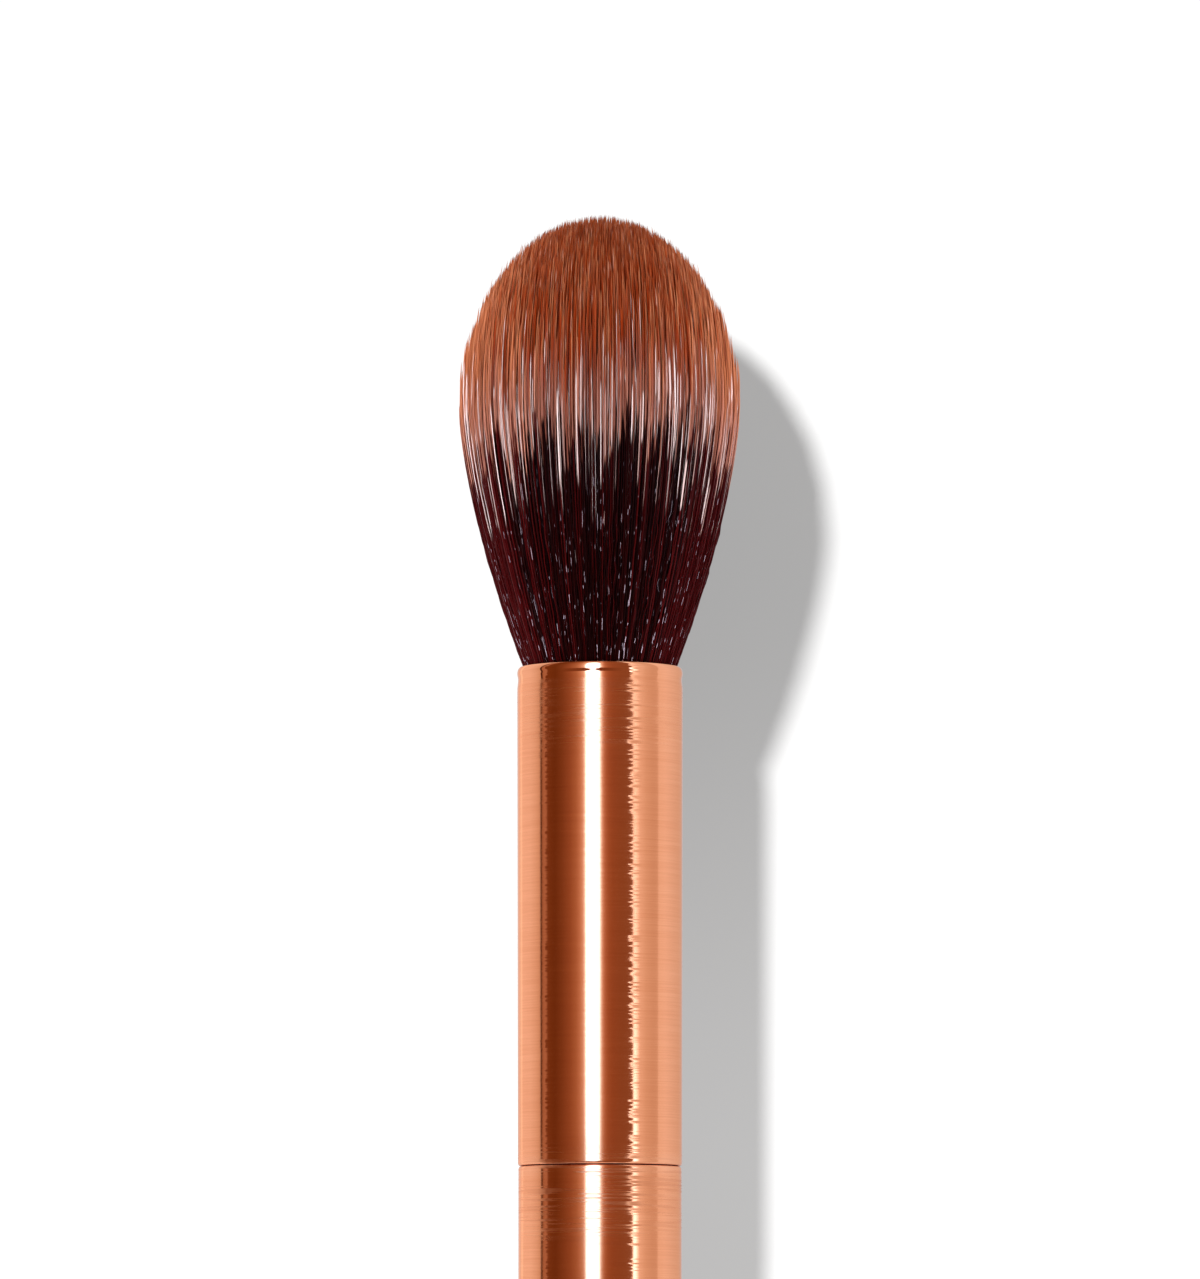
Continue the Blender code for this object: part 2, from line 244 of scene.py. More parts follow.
CARDS_RIGHT = [
    (-10, 0.66, 0.45, 0.33),
    (0, 0.74, 0.52, 0.40),
    (3.2, 0.95, 0.76, 0.68),
    (4.9, 0.74, 0.47, 0.35),
    (7.6, 0.54, 0.27, 0.155),
    (11.8, 0.42, 0.18, 0.088),
    (18, 0.35, 0.145, 0.068),
    (30, 0.31, 0.135, 0.063),
    (45.7, 0.31, 0.14, 0.07),
    (46.7, 1.15, 1.15, 1.15),
    (49, 1.40, 1.45, 1.50),
    (53, 1.25, 1.30, 1.35),
    (57, 1.05, 1.00, 0.98),
    (67, 0.88, 0.79, 0.71),
    (79, 0.79, 0.68, 0.60),
    (87.5, 0.80, 0.70, 0.62),
    (89.5, 1.02, 0.99, 0.97),
    (103, 1.05, 1.05, 1.07),
    (123, 0.93, 0.95, 1.00),
    (149, 0.83, 0.85, 0.90),
    (162, 0.70, 0.74, 0.85),
    (179.9, 0.65, 0.65, 0.65),
]

CARD_STRIP = [
    (-23.2, 0.90, 0.74, 0.66),
    (-22.0, 1.10, 1.02, 1.00),
    (-20.2, 1.8, 2.2, 2.6),
    (-18.8, 3.2, 4.8, 7.0),
    (-1.5, 3.2, 4.8, 7.0),
    (0.4, 1.7, 2.5, 3.4),
    (2.1, 1.15, 1.25, 1.35),
    (3.4, 0.93, 0.73, 0.65),
]
CARD_LOW = [
    (-54, 0.24, 0.092, 0.034),
    (-34, 0.24, 0.090, 0.036),
    (-10, 0.20, 0.070, 0.026),
    (12, 0.24, 0.090, 0.036),
    (34, 0.31, 0.135, 0.063),
]
CARD_EDGE = [
    (47.2, 2.6, 3.6, 4.6),
    (50, 3.2, 4.6, 6.0),
    (53, 2.2, 2.8, 3.4),
    (56, 1.2, 1.3, 1.4),
]


class Signal:
    """A socket that takes part in sums: an expression adds the Math nodes that work it out."""

    def __init__(self, finish, socket):
        self.finish = finish
        self.socket = socket

    def __add__(self, other):
        return self.finish.math("ADD", self, other)

    def __radd__(self, other):
        return self.finish.math("ADD", other, self)

    def __sub__(self, other):
        return self.finish.math("SUBTRACT", self, other)

    def __rsub__(self, other):
        return self.finish.math("SUBTRACT", other, self)

    def __mul__(self, other):
        return self.finish.math("MULTIPLY", self, other)

    def __rmul__(self, other):
        return self.finish.math("MULTIPLY", other, self)

    def __truediv__(self, other):
        return self.finish.math("DIVIDE", self, other)

    def __pow__(self, other):
        return self.finish.math("POWER", self, other)

    def __abs__(self):
        return self.finish.math("ABSOLUTE", self)

    def clamped(self):
        return self.finish.math("MAXIMUM", self.finish.math("MINIMUM", self, 1), 0)

    def output(self, name):
        return Signal(self.finish, self.socket.node.outputs[name])


class Finish:
    """A material, or the world, and what is added to its nodes."""

    def __init__(self, owner):
        owner.use_nodes = True
        self.owner = owner
        self.tree = owner.node_tree
        self.tree.nodes.clear()

    def node(self, kind, settings=None, *values, **named):
        """Adds a node: its settings first, then its sockets in order or by name.

        Gives its first output."""
        made = self.tree.nodes.new(kind)
        for key, value in (settings or {}).items():
            if key == "stops":
                ramp = made.color_ramp
                while len(ramp.elements) < len(value):
                    ramp.elements.new(1)
                for element, (place, colour) in zip(ramp.elements, value):
                    element.position = place
                    element.color = colour
            else:
                setattr(made, key, value)
        sockets = [socket for socket in made.inputs if socket.enabled]
        pairs = list(zip(sockets, values))
        pairs += [(made.inputs[key.replace("_", " ")], value) for key, value in named.items()]
        for socket, value in pairs:
            if isinstance(value, Signal):
                self.tree.links.new(value.socket, socket)
            elif value is not None:
                socket.default_value = value
        return Signal(self, made.outputs[0]) if made.outputs else None

    def math(self, operation, *values):
        return self.node("ShaderNodeMath", {"operation": operation}, *values)

    def place(self):
        """The piece's own coordinates, in metres."""
        return self.node("ShaderNodeTexCoord").output("Object")

    def height(self):
        return self.node("ShaderNodeSeparateXYZ", None, self.place()).output("Z")

    def azimuth(self):
        """The angle round the axis, 0 at the front and positive to the right."""
        spot = self.node("ShaderNodeSeparateXYZ", None, self.place())
        return self.math("ARCTAN2", spot.output("X"), 0 - spot.output("Y"))

    def attribute(self, name):
        return self.node("ShaderNodeAttribute", {"attribute_name": name}).output("Fac")

    def noise(self, scale, detail=2.0, rough=0.5, shift=(0, 0, 0)):
        """Noise on the piece's own coordinates, stretched by a scale for each axis."""
        stretched = self.node(
            "ShaderNodeMapping", {"vector_type": "POINT"}, self.place(), shift, (0, 0, 0), scale
        )
        return self.node(
            "ShaderNodeTexNoise", None, stretched, Scale=1.0, Detail=detail, Roughness=rough
        )

    def between(self, signal, low, high, start=0.0, end=1.0):
        """A signal's range from low to high, smoothly taken to start and end."""
        settings = {"interpolation_type": "SMOOTHSTEP", "clamp": True}
        return self.node("ShaderNodeMapRange", settings, signal, low, high, start, end)

    def mix(self, share, first, second):
        """From the first colour to the second by a share."""
        made = self.tree.nodes.new("ShaderNodeMix")
        made.data_type = "RGBA"
        sockets = [socket for socket in made.inputs if socket.enabled]
        for socket, value in zip(sockets, (share, first, second)):
            if isinstance(value, Signal):
                self.tree.links.new(value.socket, socket)
            else:
                socket.default_value = (*value, 1) if hasattr(value, "__len__") else value
        return Signal(self, next(socket for socket in made.outputs if socket.enabled))

    def vector(self, operation, *values):
        return self.node("ShaderNodeVectorMath", {"operation": operation}, *values)

    def turned_aside(self, amount):
        """The surface's normal, turned round the upright axis by a small amount."""
        normal = self.node("ShaderNodeNewGeometry").output("Normal")
        aside = self.vector("SCALE", self.vector("CROSS_PRODUCT", (0, 0, 1), normal), amount)
        return self.vector("NORMALIZE", self.vector("ADD", normal, aside))

    def bump(self, height, strength, distance, normal=None):
        inputs = {"Strength": strength, "Distance": distance, "Height": height, "Normal": normal}
        return self.node("ShaderNodeBump", None, **inputs)

    def show(self, shader):
        self.node("ShaderNodeOutputMaterial", None, Surface=shader)

    def principled(self, **sockets):
        self.show(self.node("ShaderNodeBsdfPrincipled", None, **sockets))


def new_finish(name):
    return Finish(bpy.data.materials.new(name))


# Finishes


def brushed_copper(name, bottom, top, shift):
    """Copper plate brushed round the girth: its lines are fine, and long round the tube."""
    finish = new_finish(name)
    hair_lines = finish.noise((150, 150, 9500), 1.0, 0.5, (0, 0, shift))
    teeth = finish.noise((140, 140, 5600), 1.0, 0.5, (shift, 0, 0))
    groups = finish.noise((90, 90, 1100), 2.0, 0.6, (0, 0, -shift))
    passes = finish.noise((24, 24, 900), 3.0, 0.6, (0, shift, 0))
    clouds = finish.noise((160, 160, 90), 3.0, 0.55, (shift, shift, 0))
    height = finish.height()
    from_edge = finish.math("MINIMUM", height - bottom, top - height)
    worn = finish.between(from_edge, 0.0, 1.2 * MM, 1.0, 0.0)

    # Coarser lines of the buff lie in patches round the girth, and turn the surface a bit sideways
    azimuth = finish.azimuth()
    buffed = 0.04
    for place, width, strength in BUFFED_PATCHES:
        off = abs(azimuth - math.radians(place))
        buffed = buffed + strength * finish.between(off, 0, math.radians(width), 1.0, 0.0)
    grouped = finish.between(groups, 0.30, 0.50)
    coarse = finish.between(teeth, 0.48, 0.60) * grouped
    at_seam = finish.between(abs(height - (handle_high.z - 2.5 * MM)), 2 * MM, 5.5 * MM, 1.0, 0.0)
    at_mouth = finish.between(abs(height - (mouth - 5 * MM)), 2 * MM, 4.5 * MM, 1.0, 0.0)
    rough = 0.15 + coarse * (0.10 * buffed + 0.25 * at_seam + 0.10 * at_mouth)
    rough = rough + 0.08 * (hair_lines - 0.5) + 0.04 * (clouds - 0.5) - 0.02 * worn
    rough = rough + finish.between(height, mouth - 14 * MM, mouth, 0.0, 0.035)
    rough = rough * finish.between(height, mouth - 1.7 * MM, mouth - 1.3 * MM, 1.0, 0.35)
    tone = (0.5 + 1.1 * (hair_lines - 0.5) + 0.9 * (passes - 0.5) + 0.7 * (clouds - 0.5)).clamped()
    colour = finish.mix(tone, (0.775, 0.315, 0.165), (0.875, 0.395, 0.225))
    colour = finish.mix(0.35 * worn, colour, (0.90, 0.45, 0.28))
    relief = 0.6 * hair_lines + 0.4 * passes
    aside = finish.between(teeth, 0.45, 0.70) * grouped * (0.13 + 0.04 * at_seam + 0.10 * at_mouth)
    finish.principled(
        Base_Color=colour,
        Metallic=1.0,
        Roughness=rough.clamped(),
        Anisotropic=0.93,
        Anisotropic_Rotation=0.25,
        Specular_Tint=(0.95, 0.75, 0.62, 1),
        Normal=finish.bump(relief, 0.12, 0.02 * MM, finish.turned_aside(buffed * aside)),
    )
    return finish.owner


def dyed_filament():
    """Synthetic filament: burgundy below, copper above, with a ragged line between the two dyes.

    A point knows how far along its filament it is: 0 at the root, 1 where the dye changes."""
    finish = new_finish("dyed_filament")
    along = finish.attribute("strand_along")
    style = finish.attribute("strand_style")
    tone = finish.attribute("strand_tone")
    tip = finish.attribute("strand_tip")
    gloss = finish.attribute("strand_gloss")
    streak_place = finish.attribute("streak_place")
    streak_reach = finish.attribute("streak_reach")
    highlight_streak = finish.attribute("streak_strength")

    dye = finish.between(along, 0.98, 1.03)
    dark = finish.mix(tone**2, (0.006, 0.0005, 0.0006), (0.052, 0.0020, 0.0026))
    # Just above the dye line the copper passes through a pale pink, a painted sheen for the light
    # the filaments catch there; glossier filaments are painted lighter, here and in the copper
    sheen_pink = finish.mix(0.35 * tone + 0.65 * gloss, (0.12, 0.026, 0.017), (0.58, 0.26, 0.195))
    bright = 0.85 * tone**2 + 0.15 * gloss**2
    copper = finish.mix(bright, (0.29, 0.031, 0.002), (0.56, 0.205, 0.098))
    above = finish.mix(finish.between(along, 1.02, 1.50), sheen_pink, copper)
    colour = finish.mix(dye, dark, above)

    # The painted highlight streaks and glints lie on one side of a filament, so they are finer than
    # it is
    spot_on_map = finish.node("ShaderNodeUVMap", {"uv_map": "OFBake"})
    column = STYLES * finish.node("ShaderNodeSeparateXYZ", None, spot_on_map).output("X")
    across = finish.math("FRACT", column)
    off_line = abs(across - 0.5)
    one_side = finish.between(off_line, 0.10, 0.15, 1.0, 0.0)

    # Where the filaments turn upright they carry painted highlights: pale streaks for the light they
    # catch there
    bell = finish.between(abs(along - streak_place) / streak_reach, 0.7, 1.0, 1.0, 0.0)
    pale = finish.mix(highlight_streak, (0.50, 0.21, 0.16), (1.0, 0.89, 0.92))
    colour = finish.mix((2 * highlight_streak).clamped() * bell * one_side, colour, pale)

    # Painted glints of the crimp near the mouth: pale dashes, paler than the dye
    spot = finish.node("ShaderNodeCombineXYZ", None, 223 * style, 0.0, 21 * along)
    glint_noise = finish.node("ShaderNodeTexNoise", None, spot, Scale=1.0, Detail=1.0)
    low = finish.between(along, 0.22, 0.44, 1.0, 0.0)
    painted_glints = (0.6 + 0.4 * low) * finish.between(off_line, 0.02, 0.06, 1.0, 0.0)
    painted_glints = painted_glints * finish.between(glint_noise + 0.03 * low, 0.59, 0.62)
    painted_glints = 0.9 * painted_glints * finish.between(along, 0.70, 0.95, 1.0, 0.0)
    colour = finish.mix(painted_glints, colour, (0.84, 0.74, 0.95))

    # A few painted glints above: thin pale lines
    spot = finish.node("ShaderNodeCombineXYZ", None, 311 * style, 0.0, 5 * along)
    lines = finish.node("ShaderNodeTexNoise", None, spot, Scale=1.0, Detail=1.0)
    painted_upper_glints = one_side * finish.between(lines, 0.60, 0.66) * finish.between(along, 1.1, 1.3)
    colour = finish.mix(0.5 * painted_upper_glints, colour, (0.85, 0.50, 0.38))

    # The tips are painted a paler copper for the light that scatters through their thin ends
    colour = finish.mix(0.25 * tip, colour, (0.62, 0.20, 0.07))
    finish.principled(
        Base_Color=colour,
        Roughness=0.28 + 0.20 * gloss,
        IOR=1.5,
        Specular_IOR_Level=0.06,
    )
    return finish.owner


def fused_roots():
    """Filament ends melted together: burgundy, with the ends still showing as fine grains."""
    finish = new_finish("fused_roots")
    grains = finish.noise((5200, 5200, 700), 2.0, 0.6)
    flow = finish.noise((420, 420, 420), 3.0, 0.6)
    colour = finish.mix(0.7 * grains + 0.3 * flow, (0.012, 0.001, 0.002), (0.110, 0.014, 0.016))
    finish.principled(
        Base_Color=colour,
        Roughness=0.30 + 0.25 * grains,
        Normal=finish.bump(grains + 0.5 * flow, 0.3, 0.04 * MM),
    )
    return finish.owner


def moulded_plastic():
    """Black glass-filled plastic with a fine moulded grain."""
    finish = new_finish("moulded_plastic")
    grain = finish.noise((6000, 6000, 6000), 3.0, 0.6)
    flow = finish.noise((220, 220, 90), 2.0, 0.5)
    colour = finish.mix(0.5 * flow + 0.3 * grain, (0.014, 0.014, 0.016), (0.040, 0.040, 0.044))
    finish.principled(
        Base_Color=colour,
        Roughness=0.40 + 0.25 * (grain - 0.5) + 0.1 * flow,
        Normal=finish.bump(grain, 0.25, 0.02 * MM),
    )
    return finish.owner


def cast_resin():
    """Amber resin, glossy, with faint clouds and a slightly rippled skin."""
    finish = new_finish("cast_resin")
    clouds = finish.noise((500, 500, 300), 4.0, 0.6)
    ripple = finish.noise((900, 900, 900), 2.0, 0.5)
    colour = finish.mix(finish.between(clouds, 0.3, 0.7), (0.52, 0.36, 0.15), (0.70, 0.56, 0.33))
    finish.principled(
        Base_Color=colour,
        Roughness=0.10 + 0.12 * clouds,
        Coat_Weight=0.4,
        Normal=finish.bump(ripple, 0.15, 0.05 * MM),
    )
    return finish.owner


def waxed_thread():
    """Undyed waxed thread: plies that run round the band at a slant."""
    finish = new_finish("waxed_thread")
    fibres = finish.noise((2600, 2600, 9000), 3.0, 0.6)
    plies = finish.node(
        "ShaderNodeTexWave",
        {"wave_type": "BANDS", "bands_direction": "DIAGONAL"},
        finish.place(),
        Scale=900.0,
        Distortion=1.5,
        Detail=1.0,
    ).output("Fac")
    colour = finish.mix(0.6 * plies + 0.3 * fibres, (0.50, 0.45, 0.36), (0.78, 0.74, 0.64))
    finish.principled(
        Base_Color=colour,
        Roughness=0.62 + 0.2 * fibres,
        Normal=finish.bump(plies + 0.4 * fibres, 0.5, 0.05 * MM),
    )
    return finish.owner


def turned_steel():
    """Bar steel with the fine helix that a turning tool leaves."""
    finish = new_finish("turned_steel")
    cuts = finish.noise((60, 60, 5200), 2.0, 0.6)
    stains = finish.noise((260, 260, 260), 4.0, 0.6)
    colour = finish.mix(0.6 * cuts + 0.4 * stains, (0.42, 0.42, 0.43), (0.62, 0.62, 0.63))
    finish.principled(
        Base_Color=colour,
        Metallic=1.0,
        Roughness=0.26 + 0.18 * cuts + 0.08 * stains,
        Anisotropic=0.6,
        Anisotropic_Rotation=0.25,
        Normal=finish.bump(cuts, 0.2, 0.03 * MM),
    )
    return finish.owner


# Turned shells


def arc(centre, width, height, start, end):
    """Points of a quarter of an ellipse in a profile. Its start and end are in quarter turns."""
    points = []
    for step in range(ROUND_STEPS + 1):
        angle = (start + (end - start) * step / ROUND_STEPS) * math.pi / 2
        points.append((centre[0] + width * math.cos(angle), centre[1] + height * math.sin(angle)))
    return points


def turned_shell(name, profile, closed):
    """Turns a profile on the axis: a ring of edges is extruded and scaled, point by point."""
    bpy.ops.object.select_all(action="DESELECT")
    radius, height = profile[0]
    bpy.ops.mesh.primitive_circle_add(vertices=SHELL_SIDES, radius=radius, location=(0, 0, height))
    shell = bpy.context.object
    shell.name = name
    bpy.ops.object.transform_apply(location=True, rotation=True, scale=True)
    bpy.ops.object.mode_set(mode="EDIT")
    bpy.ops.mesh.select_all(action="SELECT")
    for (near, low), (far, high) in zip(profile, profile[1:]):
        bpy.ops.mesh.extrude_region_move(TRANSFORM_OT_translate={"value": (0, 0, high - low)})
        ratio = far / near
        bpy.ops.transform.resize(value=(ratio, ratio, 1), center_override=(0, 0, high))
    bpy.ops.mesh.select_all(action="SELECT")
    bpy.ops.mesh.remove_doubles(threshold=WELD)
    if not closed:
        bpy.ops.mesh.select_all(action="DESELECT")
        bpy.ops.mesh.select_mode(type="EDGE")
        bpy.ops.mesh.select_non_manifold()
        bpy.ops.mesh.edge_face_add()
        bpy.ops.mesh.select_mode(type="VERT")
    bpy.ops.mesh.select_all(action="SELECT")
    bpy.ops.mesh.normals_make_consistent(inside=False)
    bpy.ops.object.mode_set(mode="OBJECT")
    bpy.ops.object.shade_smooth_by_angle(angle=SMOOTH_ANGLE)
    return shell


def ferrule_profile():
    """Down the outside from the mouth's inner edge, then up the bore and back over the lip."""
    low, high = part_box("ferrule")
    foot, mouth = low.z - SEAM_CLOSING, high.z
    mouth_radius = high.x
    foot_radius = mouth_radius - FERRULE_TAPER
    slope = (mouth_radius - foot_radius) / (mouth - foot)
    lip = mouth_radius - LIP_CURL
    profile = arc((lip, mouth - LIP_HEIGHT), LIP_CURL, LIP_HEIGHT, 1, 0)
    bead = mouth - BEAD_DROP
    for share in BEAD_SHARES:
        dip = BEAD_DEPTH * (1 + math.cos(math.pi * share)) / 2
        level = bead - share * (BEAD_ABOVE if share < 0 else BEAD_BELOW)
        profile.append((foot_radius + slope * (level - foot) - dip, level))
    plain_top, plain_foot = bead - BEAD_BELOW, foot + EDGE_HEIGHT
    for step in range(1, TUBE_STEPS):
        level = plain_top + (plain_foot - plain_top) * step / TUBE_STEPS
        profile.append((foot_radius + slope * (level - foot), level))
    profile += arc((foot_radius - EDGE_WIDTH, foot + EDGE_HEIGHT), EDGE_WIDTH, EDGE_HEIGHT, 0, -1)
    bore = foot_radius - FERRULE_WALL
    profile += [(bore, foot), (mouth_radius - FERRULE_WALL, mouth - LIP_HEIGHT - LIP_EDGE)]
    profile += [(lip - LIP_EDGE, mouth - LIP_EDGE)]
    profile += arc((lip, mouth - LIP_EDGE), LIP_EDGE, LIP_EDGE, 2, 1)
    return profile


def handle_profile():
    """A plain tube with rolled edges."""
    low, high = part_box("handle_tube")
    high.z += SEAM_CLOSING
    radius = high.x
    inner = radius - HANDLE_WALL
    profile = arc((radius - EDGE_WIDTH, high.z - EDGE_HEIGHT), EDGE_WIDTH, EDGE_HEIGHT, 1, 0)
    plain_top, plain_foot = high.z - EDGE_HEIGHT, low.z + EDGE_HEIGHT
    for step in range(1, TUBE_STEPS):
        profile.append((radius, plain_top + (plain_foot - plain_top) * step / TUBE_STEPS))
    profile += arc((radius - EDGE_WIDTH, low.z + EDGE_HEIGHT), EDGE_WIDTH, EDGE_HEIGHT, 0, -1)
    profile += [(inner, low.z), (inner, high.z), profile[0]]
    return profile


def cap_profile():
    """The disc that closes the handle, from its spigot down to its flat foot."""
    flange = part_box("handle_tube")[0].z - SEAM_GAP
    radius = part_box("end_cap")[1].x
    spigot = radius - HANDLE_WALL - GLUE_LINE
    top = flange + SPIGOT_LENGTH
    middle = flange + SPIGOT_LENGTH / 2
    profile = [(DISC_MIDDLE * spigot, top)]
    profile += [(spigot - PLUG_CHAMFER, top), (spigot, top - PLUG_CHAMFER)]
    for depth, level in ((0, 0.5), (1, 0.5), (1, -0.5), (0, -0.5)):
        profile.append((spigot - depth * GROOVE_DEPTH, middle + level * GROOVE_HEIGHT))
    profile += [(spigot, flange)]
    profile += arc((radius - EDGE_WIDTH, flange - EDGE_HEIGHT), EDGE_WIDTH, EDGE_HEIGHT, 1, 0)
    profile += arc((radius - FOOT_ROUND, FOOT_ROUND), FOOT_ROUND, FOOT_ROUND, 0, -1)
    profile += [(DISC_MIDDLE * spigot, 0)]
    return profile


def slice_profile():
    """The fused roots of the tuft, a disc with a neck for the thread."""
    top = mouth - ROOT_DEPTH
    foot = top - SLICE_THICKNESS
    low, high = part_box("root_band")
    radius, neck = high.x + GLUE_LINE, high.x - THREAD_DIAMETER - GLUE_LINE
    profile = [(DISC_MIDDLE * radius, top), (radius - SLICE_ROUND, top)]
    profile += arc((radius - SLICE_ROUND, top - SLICE_ROUND), SLICE_ROUND, SLICE_ROUND, 1, 0)[1:]
    for level, sizes in ((high.z + GLUE_LINE, (radius, neck)), (low.z - GLUE_LINE, (neck, radius))):
        profile += [(size, level) for size in sizes]
    profile += arc((radius - SLICE_ROUND, foot + SLICE_ROUND), SLICE_ROUND, SLICE_ROUND, 0, -1)
    profile += [(DISC_MIDDLE * radius, foot)]
    return profile


# Tuft


def tuft_radius(height):
    """Outside of the tuft at heights above the ferrule's mouth, and of its roots below it."""
    height = np.asarray(height, float)
    rise = np.clip((height - BELLY_HEIGHT) / (TUFT_HEIGHT - BELLY_HEIGHT), 0, 1)
    fall = np.clip((BELLY_HEIGHT - height) / BELLY_HEIGHT, 0, None)
    above = BELLY_RADIUS * (1 - GATHER_SHARE * rise**2)
    return above - (BELLY_RADIUS - throat) * fall**FLARE_POWER


def tip_height(place):
    """Heights at which filaments at these places meet the domed top of the tuft."""
    rise = np.zeros_like(place)
    for _ in range(OUTLINE_PASSES):
        rise = 1 - (place * (1 - GATHER_SHARE * rise)) ** 2
        rise = np.clip(rise, 0, 1)
    return BELLY_HEIGHT + (TUFT_HEIGHT - BELLY_HEIGHT) * np.sqrt(rise)


def spiral(count):
    """Even places on a disc of radius 1."""
    index = np.arange(count) + 0.5
    turn = index * math.pi * (3 - math.sqrt(5))
    return np.sqrt(index / count)[:, None] * np.stack([np.cos(turn), np.sin(turn)], 1)


def nearest(points, centres):
    """Index of the centre nearest to each point, found in parts to spare memory."""
    found = []
    for part in np.array_split(points, 24):
        found.append(((part[:, None] - centres[None]) ** 2).sum(2).argmin(1))
    return np.concatenate(found)


def filament_template(rings):
    """One filament, modelled as a prism cut into rings and closed to a point at its tip."""
    bpy.ops.object.select_all(action="DESELECT")
    bpy.ops.mesh.primitive_cylinder_add(
        vertices=STRAND_SIDES, radius=1, depth=1, location=(0, 0, 0.5)
    )
    bpy.ops.object.transform_apply(location=True, rotation=True, scale=True)
    model = bpy.context.object
    bpy.ops.object.mode_set(mode="EDIT")
    bpy.ops.mesh.select_mode(type="EDGE")
    bpy.ops.mesh.select_all(action="DESELECT")
    bpy.ops.object.mode_set(mode="OBJECT")
    for edge in model.data.edges:
        ends = [model.data.vertices[index].co for index in edge.vertices]
        edge.select = abs(ends[0].z - ends[1].z) > 0.5
    bpy.ops.object.mode_set(mode="EDIT")
    bpy.ops.mesh.subdivide(number_cuts=rings - 2)
    bpy.ops.mesh.select_mode(type="VERT")
    bpy.ops.mesh.select_all(action="DESELECT")
    bpy.ops.object.mode_set(mode="OBJECT")
    for vert in model.data.vertices:
        vert.select = vert.co.z > 0.999
    bpy.ops.object.mode_set(mode="EDIT")
    bpy.ops.mesh.merge(type="CENTER")
    bpy.ops.mesh.select_all(action="SELECT")
    bpy.ops.mesh.normals_make_consistent(inside=False)
    bpy.ops.object.mode_set(mode="OBJECT")
    mesh = model.data
    places = np.array([vert.co for vert in mesh.vertices])
    faces = [list(face.vertices) for face in mesh.polygons]
    bpy.data.objects.remove(model)
    bpy.data.meshes.remove(mesh)
    return places, faces


def ring_heights(tips, crimped):
    """Heights of a filament's rings from its root to its tip, for each tip height."""
    root = -ROOT_DEPTH - ROOT_IN_SLICE * SLICE_THICKNESS
    if crimped:
        low = np.concatenate([[root], np.linspace(*CRIMPED_HEIGHTS)])
        high = np.array([0.2, 0.4, 0.6, 0.8, 1.0])
    else:
        low = np.array([root, PLAIN_HEIGHT])
        high = np.array([0.25, 0.50, 0.75, 1.0])
    last = tips - TIP_LENGTH
    rows = [np.full_like(tips, level) for level in low]
    rows += [low[-1] + (last - low[-1]) * share for share in high]
    rows += [last + TIP_LENGTH * share for share in TIP_STEPS]
    return np.stack(rows, 1)


def strand_paths(seeds, chosen, crimped):
    """Centres and half widths of the chosen filaments at their rings."""
    home = seeds["home"][chosen]
    tips = seeds["tips"][chosen]
    heights = ring_heights(tips, crimped)
    rise = np.clip(heights / tips[:, None], 0, 1)

    # Filaments draw together into small clumps, and the clumps into bundles
    clump, bundle = seeds["clump"][chosen], seeds["bundle"][chosen]
    pull = (seeds["pull"][chosen][:, None] * rise**CLUMP_POWER)[..., None]
    share = (seeds["draw"][chosen][:, None] * rise**BUNDLE_POWER)[..., None]
    spot = home[:, None] * (1 - pull - share) + clump[:, None] * pull + bundle[:, None] * share

    radius = tuft_radius(heights)[..., None]
    flat = spot * radius

    # Each filament leans a little of its own accord, and the lower part is crimped
    lean = seeds["lean"][chosen]
    flat += lean[:, None] * (rise**LEAN_POWER)[..., None] * MM
    if crimped:
        calm = np.clip(heights / CRIMP_FOOT, 0, 1)
        calm = calm * np.clip((CRIMP_TOP - heights) / CRIMP_FADE, 0, 1)
        pitch, phase = seeds["pitch"][chosen][:, None], seeds["phase"][chosen][:, None]
        wave = np.sin(TURN * heights / pitch + phase)
        turn = seeds["side"][chosen]
        way = np.stack([np.cos(turn), np.sin(turn)], 1)
        size = seeds["crimp"][chosen][:, None]
        flat += way[:, None] * (size * calm * wave)[..., None]

    # Nothing strays far outside the outline
    reach = np.linalg.norm(flat, axis=2, keepdims=True)
    limit = radius * (1 + STRAY_SHARE * rise[..., None])
    flat *= np.minimum(1, limit / np.maximum(reach, 1e-9))

    taper = np.clip((tips[:, None] - heights) / TIP_LENGTH, 0, 1) ** TIP_TAPER
    width = STRAND_RADIUS * seeds["size"][chosen][:, None] * taper
    return np.concatenate([flat, heights[..., None]], 2), width, tips


